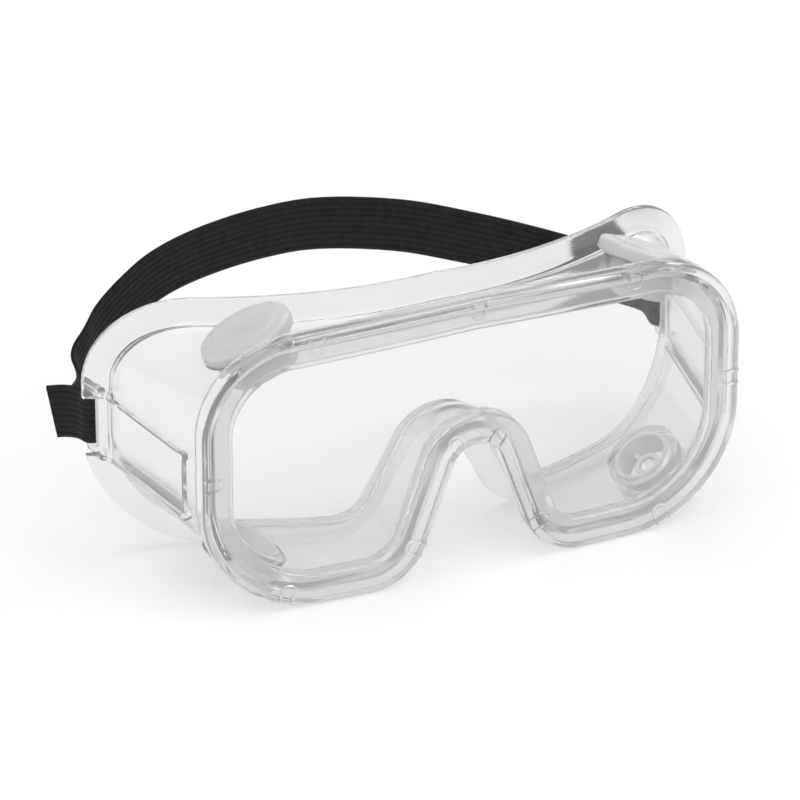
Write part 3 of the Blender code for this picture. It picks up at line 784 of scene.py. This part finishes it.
@dataclass
class BlankPlate:
    """The raised outline of an empty name panel on the brow wall."""

    half_width: float = 0.0215
    front: float = 0.0095
    back: float = 0.0155
    corner: float = 0.0012
    radius: float = 0.00042

    def tools(self, body: FrameShape, design: Matrix) -> list[tuple[bpy.types.Object, Cut]]:
        """One closed bead round a rectangle with round corners, laid on the wall.

        Args:
            body: the frame's sizes.
            design: where the design stands in the world.

        Returns:
            The bead with what it does to the frame.
        """
        corners = np.array([[
            (-self.half_width, self.front), (self.half_width, self.front),
            (self.half_width, self.back), (-self.half_width, self.back)]])
        flat = rounded(corners, [self.corner] * 4, 6, True)[0]
        runs = []
        for start, end in zip(flat, np.roll(flat, -1, axis=0)):
            count = max(1, int(np.linalg.norm(end - start) / 0.0015))
            runs.append(start + (end - start) * np.arange(count)[:, None] / count)
        flat = np.concatenate(runs)
        height = body.wall_height(flat[:, 0], flat[:, 1], 1.0) + self.radius * 0.3
        path = np.stack([flat[:, 0], flat[:, 1], height], axis=-1)
        return [(bead("panel", moved(path, design), self.radius, True, 8), Cut.JOIN)]


# --- Vents ---------------------------------------------------------------------------------------

@dataclass(frozen=True)
class Vent:
    """One vent: a bush in its port, and a cap on the bush. Heights are above the port's seat."""

    level: Level
    side: Side
    crown: float
    thickness: float
    skirt: float
    step_radius: float
    step: float
    overhang: float
    bush_length: float
    bore: float = 0.0086
    collar_wall: float = 0.0022
    collar_depth: float = 0.0065
    clear_height: float = 0.0400
    bush_wall: float = 0.0012
    bush_rim: float = 0.0007
    hub: float = 0.0037
    hub_height: float = 0.0040
    stem: float = 0.0021
    stem_reach: float = 0.0022
    spoke_width: float = 0.0016
    spokes: int = 3
    sides: int = 96

    @property
    def name(self) -> str:
        """The ending of the names of its nodes."""
        return f"{self.level.name.lower()}_{self.side.name.lower()}"

    @property
    def radius(self) -> float:
        """Outer radius of the cap."""
        return self.bore + self.collar_wall + self.overhang

    def seat(self, frame: dict) -> Matrix:
        """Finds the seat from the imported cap: its points lie evenly round the axis of its joint.


        Returns:
            The seat's matrix, with +Z out of the wall.
        """
        axis = next(Vector(j["axis"]) for j in frame["joints"] if j["child"] == f"cap_{self.name}")
        axis.normalize()
        mesh = frame["nodes"][f"vent_cap_{self.name}"].data
        points = np.zeros(len(mesh.vertices) * 3)
        mesh.vertices.foreach_get("co", points)
        points = points.reshape(-1, 3)
        foot = float((points @ np.array(axis)).min()) + self.stem_reach
        middle = np.unique(np.round(points, 6), axis=0).mean(axis=0)
        place = Vector(middle) + axis * (foot - float(middle @ np.array(axis)))
        return Matrix.Translation(place) @ axis.to_track_quat("Z", "Y").to_matrix().to_4x4()

    def cylinder(self, name: str, radius: float, low: float, high: float, seat: Matrix) -> bpy.types.Object:
        """A plain round tool along the seat's axis."""
        profile = np.array([(0.0, high), (radius, high), (radius, low), (0.0, low)])
        return spun_solid(name, profile, self.sides, seat, False)

    def port_tools(self, seat: Matrix) -> list[tuple[bpy.types.Object, Cut]]:
        """The solids that face the wall flat, mould the port's collar and bore it."""
        under_cap = self.crown - self.step - self.thickness - self.skirt - FIT_GAP
        collar = self.bore + self.collar_wall
        return [
            (self.cylinder("seat", collar + FIT_GAP, FIT_GAP / 4.0, self.clear_height, seat), Cut.REMOVE),
            (self.cylinder("relief", self.radius + FIT_GAP, under_cap, self.clear_height, seat), Cut.REMOVE),
            (self.cylinder("collar", collar, -self.collar_depth, 0.0, seat), Cut.JOIN),
            (self.cylinder("bore", self.bore, -self.collar_depth * 2.0, self.clear_height, seat), Cut.REMOVE),
        ]

    def make_bush(self, seat: Matrix) -> bpy.types.Object:
        """The flanged tube with the hub on its spokes."""
        collar, outer = self.bore + self.collar_wall, self.bore - FIT_GAP
        inner, top = outer - self.bush_wall, FIT_GAP + self.bush_rim
        corners = np.array([[
            (collar, top), (collar, FIT_GAP), (outer, FIT_GAP), (outer, -self.bush_length),
            (inner, -self.bush_length), (inner, top)]])
        profile = rounded(corners, [0.0003, 0.0002, 0.0, 0.0004, 0.0003, 0.0003], 4, True)[0]
        bush = spun_solid(f"bush_{self.name}", profile, self.sides, seat, True)
        floor, bored = top - self.hub_height, self.stem + FIT_GAP
        ring = np.array([[(self.hub, top), (self.hub, floor), (bored, floor), (bored, top)]])
        tools = [(spun_solid("hub", rounded(ring, [0.0003] * 4, 3, True)[0], 48, seat, True), Cut.JOIN)]
        middle = (floor + top) / 2.0
        for index in range(self.spokes):
            turned = seat @ Matrix.Rotation(math.tau * index / self.spokes, 4, "Z")
            low = Vector(((bored + self.hub) / 2.0, -self.spoke_width / 2.0, middle - self.hub_height * 0.3))
            high = Vector(((inner + outer) / 2.0, self.spoke_width / 2.0, middle + self.hub_height * 0.3))
            tools.append((slab("spoke", low, high, 0.0003, 0.0001, turned), Cut.JOIN))
        shape(bush, tools, math.radians(35.0))
        return bush

    def make_cap(self, seat: Matrix) -> bpy.types.Object:
        """The cap, with a raised middle, a turned-down rim where it has a skirt, and its stem."""
        top, radius, step = self.crown, self.radius, self.step
        disc_top = top - step
        disc_low = disc_top - self.thickness
        corners = [(0.0, top), (self.step_radius, top - step * 0.15), (self.step_radius + step * 0.8, disc_top),
                   (radius, disc_top - step * 0.4)]
        cuts = [0.0, 0.0005, 0.0003, 0.0011 if self.skirt else 0.0004]
        if self.skirt:
            skirt_low, skirt_inner = disc_low - self.skirt, radius - self.thickness
            corners += [(radius, skirt_low), (skirt_inner, skirt_low), (skirt_inner, disc_low)]
            cuts += [0.0004, 0.0004, 0.0006]
        else:
            corners.append((radius, disc_low))
            cuts.append(0.0003)
        corners += [(self.stem, disc_low), (self.stem, -self.stem_reach), (0.0, -self.stem_reach)]
        cuts += [0.0003, 0.0003, 0.0]
        profile = rounded(np.array([corners]), cuts, 6, False)[0]
        cap = spun_solid(f"cap_{self.name}", profile, self.sides, seat, False)
        shape(cap, [], math.radians(50.0))
        return cap


def all_vents() -> list[Vent]:
    """The four vents: mushroom caps above and low caps below."""
    vents = []
    for side in Side:
        vents.append(Vent(
            Level.UPPER, side, crown=0.0052, thickness=0.0014, skirt=0.0024, step_radius=0.0092,
            step=0.0007, overhang=0.0024, bush_length=0.0085))
        vents.append(Vent(
            Level.LOWER, side, crown=0.0026, thickness=0.0009, skirt=0.0, step_radius=0.0058,
            step=0.0004, overhang=0.0002, bush_length=0.0068))
    return vents


# --- The soft frame and the lens -----------------------------------------------------------------

@dataclass
class FrameBody:
    """The one-piece soft frame: rim, wall, flange, ports, pads and lugs."""

    body: FrameShape = field(default_factory=FrameShape)
    pad: StrapPad = field(default_factory=StrapPad)
    marks: RimMarks = field(default_factory=RimMarks)
    panel: BlankPlate = field(default_factory=BlankPlate)
    wall_steps: int = 10
    corner_steps: int = 5

    def section(self) -> np.ndarray:
        """The section of rim, groove, wall and flange at every point round the outlines.

        A rim point is the rim's outline moved outwards, and back from the front; a flange point is the
        rear outline moved in the same way from the rear opening. Wall points lie between the two, dipped
        by the waist where the wall is level.

        Returns:
            Places with the axes station, point of the section and coordinate.
        """
        body = self.body
        (rim, rim_out), (rear, rear_out) = body.rim().loop(), body.rear().loop()

        def front_point(out: float, back: float) -> np.ndarray:
            """A place by the rim."""
            x, z = (rim + rim_out * out).T
            return np.stack([x, body.front_y(x) + back, z], axis=-1)

        def rear_point(out: float, back: float) -> np.ndarray:
            """A place by the flange."""
            x, z = (rear + rear_out * out).T
            return np.stack([x, body.rear_y(rear[:, 0]) + back, z], axis=-1)

        def wall_point(share: float, depth: float) -> np.ndarray:
            """A place on the wall, at a depth under its outer face."""
            start = front_point(-body.wall_step - depth, body.rim_depth)
            end = rear_point(-depth, -body.wall)
            dip = body.waist * 4.0 * share * (1.0 - share) * np.abs(rim_out[:, 1]) * rear_out[:, 1]
            place = start + (end - start) * share
            place[:, 2] -= dip
            return place

        groove_back = body.lip + body.lens_thickness + 2.0 * FIT_GAP
        shares = [step / self.wall_steps for step in range(1, self.wall_steps)]
        outside = [(wall_point(share, 0.0), 0.0) for share in shares]
        inside = [(wall_point(share, body.wall), 0.0) for share in reversed(shares)]
        sweep, thick = body.flange_sweep, body.flange_thickness
        line = (
            [(front_point(-body.lip_width, body.lip), 0.0003), (front_point(-body.lip_width, 0.0), 0.0007),
             (front_point(-body.lip_width + 0.0014, 0.0), 0.0), (front_point(-0.0028, 0.0), 0.0003),
             (front_point(-0.0023, 0.0003), 0.0002), (front_point(-0.0019, -0.00005), 0.0004),
             (front_point(0.0, -0.00005), 0.0016),
             (front_point(0.0, body.rim_depth), 0.0009), (wall_point(0.0, 0.0), 0.0010)]
            + outside
            + [(wall_point(1.0, 0.0), 0.0016), (rear_point(body.flange, sweep), 0.0006),
               (rear_point(body.flange, sweep + thick), 0.0006),
               (rear_point(-body.wall, thick), 0.0014), (wall_point(1.0, body.wall), 0.0)]
            + inside
            + [(wall_point(0.0, body.wall), 0.0008),
               (front_point(-body.lip_width, groove_back + body.lip), 0.0005),
               (front_point(-body.lip_width, groove_back), 0.0002),
               (front_point(-body.groove_edge, groove_back), 0.0),
               (front_point(-body.groove_edge, body.lip), 0.0)])
        controls = np.stack([place for place, _cut in line], axis=1)
        return rounded(controls, [cut for _place, cut in line], self.corner_steps, True)

    def build(self, design: Matrix, vents: list[tuple[Vent, Matrix]], finish: bpy.types.Material) -> None:
        """Makes the frame and stands it for its node.

        Args:
            design: where the design stands in the world.
            vents: each vent with its seat.
            finish: the clear soft plastic.
        """
        rings = moved(self.section(), design)
        faces = grid_faces(rings.shape[0], rings.shape[1], True, True).tolist()
        frame = new_object("soft_frame", rings, faces)
        tools = self.marks.tools(self.body, design) + self.panel.tools(self.body, design)
        for vent, seat in vents:
            tools += vent.port_tools(seat)
        for side in Side:
            tools += self.pad.tools(self.body, side, design)
        shape(frame, tools, math.radians(40.0))
        frame.data.materials.clear()
        frame.data.materials.append(finish)
        place_piece(frame, "frame", "frame_body", "clear_soft_plastic")


@dataclass
class Lens:
    """The clear sheet in the frame's groove."""

    body: FrameShape = field(default_factory=FrameShape)
    columns: int = 260
    rows: int = 16

    def build(self, design: Matrix, finish: bpy.types.Material) -> None:
        """Makes the lens: columns between its lower and upper edge, bent back with the front.

        Args:
            design: where the design stands in the world.
            finish: the clear hard plastic.
        """
        body = self.body
        points, normals = body.rim().half()
        edge = points - normals * (body.groove_edge + FIT_GAP)
        side = edge[:, 0].max()
        split = int(np.argmin(np.abs(edge[:, 1]) + (side - edge[:, 0]) * 50.0))
        upper, lower = edge[:split + 1], edge[split:][::-1]
        share = np.sin(np.linspace(-1.0, 1.0, self.columns) * math.pi / 2.0)
        x = share * (side - 0.00001)
        top = np.interp(np.abs(x), upper[:, 0], upper[:, 1])
        low = np.interp(np.abs(x), lower[:, 0], lower[:, 1])
        t = np.linspace(0.0, 1.0, self.rows)[:, None]
        z = low + (top - low) * t
        front = body.front_y(x) + body.lip + FIT_GAP
        layers = []
        for depth in (0.0, body.lens_thickness):
            y = np.broadcast_to(front + depth, z.shape)
            layers.append(np.stack([np.broadcast_to(x, z.shape), y, z], axis=-1))
        rows, columns = z.shape
        loop = np.concatenate([
            np.arange(columns), np.arange(1, rows) * columns + columns - 1,
            (rows - 1) * columns + np.arange(columns - 2, -1, -1), np.arange(rows - 2, 0, -1) * columns])
        following = np.roll(loop, -1)
        count = rows * columns
        sheet = grid_faces(rows, columns, False, False)
        border = np.stack([loop, following, following + count, loop + count], axis=-1)
        faces = np.concatenate([sheet, sheet[:, ::-1] + count, border]).tolist()
        lens = new_object("clear_lens_sheet", moved(np.array(layers), design), faces)
        shape(lens, [], math.radians(40.0))
        lens.data.materials.append(finish)
        place_piece(lens, "frame", "lens", "clear_lens")


# --- Headband ------------------------------------------------------------------------------------

@dataclass
class Headband:
    """The ribbed elastic ribbon, folded round the bar of each lug."""

    body: FrameShape = field(default_factory=FrameShape)
    pad: StrapPad = field(default_factory=StrapPad)
    width: float = 0.0160
    thickness: float = 0.0013
    tail: float = 0.0085
    tail_flare: float = 0.0048
    tail_droop: float = 0.0012
    ribs: int = 9
    rib_depth: float = 0.00014
    route: tuple[tuple[float, float, float], ...] = (
        (-1.014, 0.0062, 0.0020), (-1.012, 0.0105, 0.0074), (-0.959, 0.0143, 0.0114),
        (-0.889, 0.0188, 0.0149), (-0.775, 0.0228, 0.0203), (-0.649, 0.0263, 0.0244),
        (-0.474, 0.0303, 0.0262), (-0.252, 0.0333, 0.0268), (-0.039, 0.0343, 0.0257),
        (0.236, 0.0323, 0.0212), (0.464, 0.0278, 0.0155), (0.640, 0.0228, 0.0108),
        (0.824, 0.0158, 0.0057), (0.947, 0.0100, 0.0022), (0.992, 0.0060, 0.0008))
    steps: int = 14
    fold_steps: int = 28
    tail_steps: int = 14

    def fold(self, side: Side) -> np.ndarray:
        """The middle of the band from its free tail round the bar to the inside of the lug."""
        radius = math.hypot(self.pad.bar, self.pad.plate) / 2.0 + FIT_GAP + self.thickness / 2.0
        angle = np.linspace(0.0, math.pi, self.fold_steps)
        share = np.linspace(1.0, 0.0, self.tail_steps, endpoint=False)
        x = np.concatenate([radius + self.tail_flare * share ** 2, radius * np.cos(angle)])
        y = np.concatenate([self.tail * share, -radius * np.sin(angle)])
        z = np.concatenate([-self.tail_droop * share ** 2, np.zeros_like(angle)])
        return moved(np.stack([x, y, z], axis=-1), self.pad.place(self.body, side))

    def centre(self) -> np.ndarray:
        """The whole middle line: a fold, a Catmull-Rom curve through the route, and the other fold."""
        half, bar = self.body.half_width + self.body.flare, self.body.depth_temple + self.pad.bar_setback
        loose = np.array(self.route) * (half, 1.0, 1.0) + (0.0, bar, self.pad.centre_z)
        first, last = self.fold(Side.RIGHT), self.fold(Side.LEFT)[::-1]
        stride = self.fold_steps // 8
        knots = np.concatenate([first[[-1 - stride, -1]], loose, last[[0, stride]]])
        t = (np.arange(self.steps) / self.steps)[None, :, None]
        p0, p1, p2, p3 = (knots[k:len(knots) - 3 + k, None] for k in range(4))
        curve = 0.5 * (2.0 * p1 + (p2 - p0) * t + (2.0 * p0 - 5.0 * p1 + 4.0 * p2 - p3) * t ** 2
                       + (3.0 * p1 - p0 - 3.0 * p2 + p3) * t ** 3)
        return np.concatenate([first[:-1], curve.reshape(-1, 3), last])

    def build(self, design: Matrix, finish: bpy.types.Material) -> None:
        """Sweeps the ribbed section along the middle line, its width as upright as the line lets it.

        Across the width the half thickness is the band's, less the rib depth times 1 - |sin| of the
        rib's phase, and it rounds off at the two edges.

        Args:
            design: where the design stands in the world.
            finish: the knitted elastic.
        """
        centre = self.centre()
        along = np.gradient(centre, axis=0)
        along /= np.linalg.norm(along, axis=1, keepdims=True)
        up = np.array((0.0, 0.0, 1.0)) - along * along[:, 2:3]
        up /= np.linalg.norm(up, axis=1, keepdims=True)
        across = np.cross(along, up)
        share = np.linspace(0.0, 1.0, self.ribs * 6 + 1)
        groove = 1.0 - np.abs(np.sin(share * math.pi * self.ribs))
        edge = np.sqrt(np.clip(1.0 - (np.abs(share - 0.5) * 2.0) ** 24, 0.0, 1.0))
        half = (self.thickness / 2.0 - self.rib_depth * groove) * np.maximum(edge, 0.35)
        w = np.concatenate([share, share[::-1]])
        t = np.concatenate([half, -half[::-1]])
        rings = (centre[:, None] + (w[None, :, None] - 0.5) * self.width * up[:, None]
                 + t[None, :, None] * across[:, None])
        count, size = rings.shape[:2]
        faces = grid_faces(count, size, False, True).tolist()
        for row in (0, count - 1):
            loop = [row * size + j for j in range(size)]
            faces += [[loop[j], loop[j + 1], loop[size - 2 - j], loop[size - 1 - j]] for j in range(size // 2 - 1)]
        band = new_object("elastic_band", moved(rings, design), faces)
        run = np.concatenate([[0.0], np.cumsum(np.linalg.norm(np.diff(centre, axis=0), axis=1))]) / self.width
        uv = np.stack([np.tile(w, count), np.repeat(run, size)], axis=-1)
        mesh = band.data
        if len(mesh.vertices) != len(uv):
            raise ValueError("the band's vertices merged, so its UV map would not follow them")
        corner = np.zeros(len(mesh.loops), dtype=np.int32)
        mesh.loops.foreach_get("vertex_index", corner)
        mesh.uv_layers.new(name="band").uv.foreach_set("vector", uv[corner].ravel())
        shape(band, [], math.radians(50.0))
        band.data.materials.append(finish)
        place_piece(band, "frame", "headband", "black_elastic")


def place_piece(piece: bpy.types.Object, body: str, node: str, slot: str) -> None:
    """Rides a piece on its body, stands it for its node and lets its slot say whether it casts a shadow.

    The clear plastics let nearly all the light through, so a clear piece casts no shadow of its own.

    Args:
        piece: the finished mesh.
        body: the body that it moves with.
        node: the CAD node that it replaces.
        slot: the record's slot for its finish.
    """
    piece.visible_shadow = not slot.startswith("clear_")
    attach(piece, body)
    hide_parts(node)
    LOG.info("%s: %d vertices, on %s", piece.name, len(piece.data.vertices), body)


# --- Studio --------------------------------------------------------------------------------------

@dataclass(frozen=True)
class Softbox:
    """A square light that looks at the goggles."""

    name: str
    place: tuple[float, float, float]
    size: float
    power: float

    def build(self, target: Vector) -> None:
        """Makes the light and turns it to the target."""
        data = bpy.data.lights.new(self.name, "AREA")
        data.size = self.size
        data.energy = self.power
        lamp = bpy.data.objects.new(self.name, data)
        lamp.location = self.place
        lamp.rotation_euler = (target - Vector(self.place)).to_track_quat("-Z", "Y").to_euler()
        bpy.context.scene.collection.objects.link(lamp)


@dataclass
class Studio:
    """Floor, soft light and camera."""

    azimuth: float = math.radians(-24.0)
    elevation: float = math.radians(28.0)
    distance: float = 1.8
    view_width: float = 0.2222
    aim: tuple[float, float, float] = (-0.0008, 0.0, 0.0288)
    floor_radius: float = 4.0
    sky_high: float = 1.0
    sky_low: float = 0.70
    sky_strength: float = 0.74
    floor_white: float = 0.97
    lights: tuple[Softbox, ...] = (
        Softbox("overhead", (0.0, -0.3, 1.6), 2.2, 11.0),
        Softbox("key", (-1.2, -1.0, 1.1), 0.5, 3.0),
        Softbox("rim_light", (1.1, 0.9, 0.8), 0.4, 4.0),
    )

    def build(self) -> None:
        """Makes everything round the goggles."""
        self.make_floor()
        self.make_sky()
        for light in self.lights:
            light.build(Vector(self.aim))
        self.make_camera()
        bpy.context.scene.view_settings.view_transform = "Standard"

    def make_floor(self) -> None:
        """A wide disc, painted a plain near-white with a slight tooth."""
        angles = np.linspace(0.0, math.tau, 64, endpoint=False)
        points = np.stack([
            np.cos(angles) * self.floor_radius, np.sin(angles) * self.floor_radius,
            np.full_like(angles, -0.0001)], axis=-1)
        floor = new_object("floor", points, [list(range(64))])
        material = bpy.data.materials.new("floor_paint")
        material.use_nodes = True
        shader = material.node_tree.nodes["Principled BSDF"]
        shader.inputs["Base Color"].default_value = (self.floor_white,) * 3 + (1.0,)
        shader.inputs["Roughness"].default_value = 0.9
        shader.inputs["Specular IOR Level"].default_value = 0.1
        floor.data.materials.append(material)

    def make_sky(self) -> None:
        """A world that is white overhead and greyer towards the horizon, which gives clear edges a tone."""
        world = bpy.data.worlds.new("studio")
        bpy.context.scene.world = world
        world.use_nodes = True
        tree = world.node_tree
        place = tree.nodes.new("ShaderNodeTexCoord")
        parts = tree.nodes.new("ShaderNodeSeparateXYZ")
        spread = tree.nodes.new("ShaderNodeMapRange")
        spread.inputs["From Min"].default_value = 0.0
        spread.inputs["From Max"].default_value = 0.8
        spread.inputs["To Min"].default_value = self.sky_low
        spread.inputs["To Max"].default_value = self.sky_high
        link(tree, place.outputs["Generated"], parts.inputs["Vector"])
        link(tree, parts.outputs["Z"], spread.inputs["Value"])
        link(tree, spread.outputs["Result"], tree.nodes["Background"].inputs["Color"])
        tree.nodes["Background"].inputs["Strength"].default_value = self.sky_strength

    def make_camera(self) -> None:
        """A long lens at the viewing angle, wide enough for the whole of the goggles."""
        data = bpy.data.cameras.new("camera")
        data.sensor_width = 36.0
        data.lens = data.sensor_width * self.distance / self.view_width
        data.clip_end = 20.0
        camera = bpy.data.objects.new("camera", data)
        level = math.cos(self.elevation)
        back = Vector((
            math.sin(self.azimuth) * level, -math.cos(self.azimuth) * level, math.sin(self.elevation)))
        camera.location = Vector(self.aim) + back * self.distance
        camera.rotation_euler = back.to_track_quat("Z", "Y").to_euler()
        bpy.context.scene.collection.objects.link(camera)
        bpy.context.scene.camera = camera


def main() -> None:
    """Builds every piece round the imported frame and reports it."""
    logging.basicConfig(level=logging.INFO, format="%(name)s: %(message)s")
    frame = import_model()
    Studio().build()
    shop = Workshop()
    soft = ClearPlastic(
        "clear_soft_plastic", (0.88, 0.885, 0.885), clarity=0.89, index=1.45, swell=35.0, smoothest=0.03,
        roughest=0.09, depth=0.0006)
    hard = ClearPlastic(
        "clear_lens_plastic", (0.90, 0.905, 0.905), clarity=0.98, index=1.45, swell=12.0, smoothest=0.01,
        roughest=0.03, depth=0.0001)
    vent_clear = ClearPlastic(
        "clear_vent_plastic", (0.96, 0.965, 0.965), clarity=0.97, index=1.36, swell=60.0, smoothest=0.03,
        roughest=0.07, depth=0.0002)
    clear_soft, clear_hard = soft.make(shop), hard.make(shop)
    vent_finishes = {
        Level.UPPER: ("white_plastic", WhitePlastic().make(shop)),
        Level.LOWER: ("clear_vent_plastic", vent_clear.make(shop)),
    }

    body = FrameShape()
    low, _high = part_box("lens")
    design = Matrix.Translation((
        0.0, low.y - body.lip - FIT_GAP, low.z - body.bottom - body.groove_edge - FIT_GAP))
    vents = [(vent, vent.seat(frame)) for vent in all_vents()]
    FrameBody(body).build(design, vents, clear_soft)
    Lens(body).build(design, clear_hard)
    for vent, seat in vents:
        bush, cap = vent.make_bush(seat), vent.make_cap(seat)
        slot, finish = vent_finishes[vent.level]
        bush.data.materials.append(finish)
        cap.data.materials.append(finish)
        place_piece(bush, "frame", f"vent_bush_{vent.name}", slot)
        place_piece(cap, f"cap_{vent.name}", f"vent_cap_{vent.name}", slot)
    Headband(body).build(design, BlackElastic().make(shop))


if __name__ == "__main__":
    main()
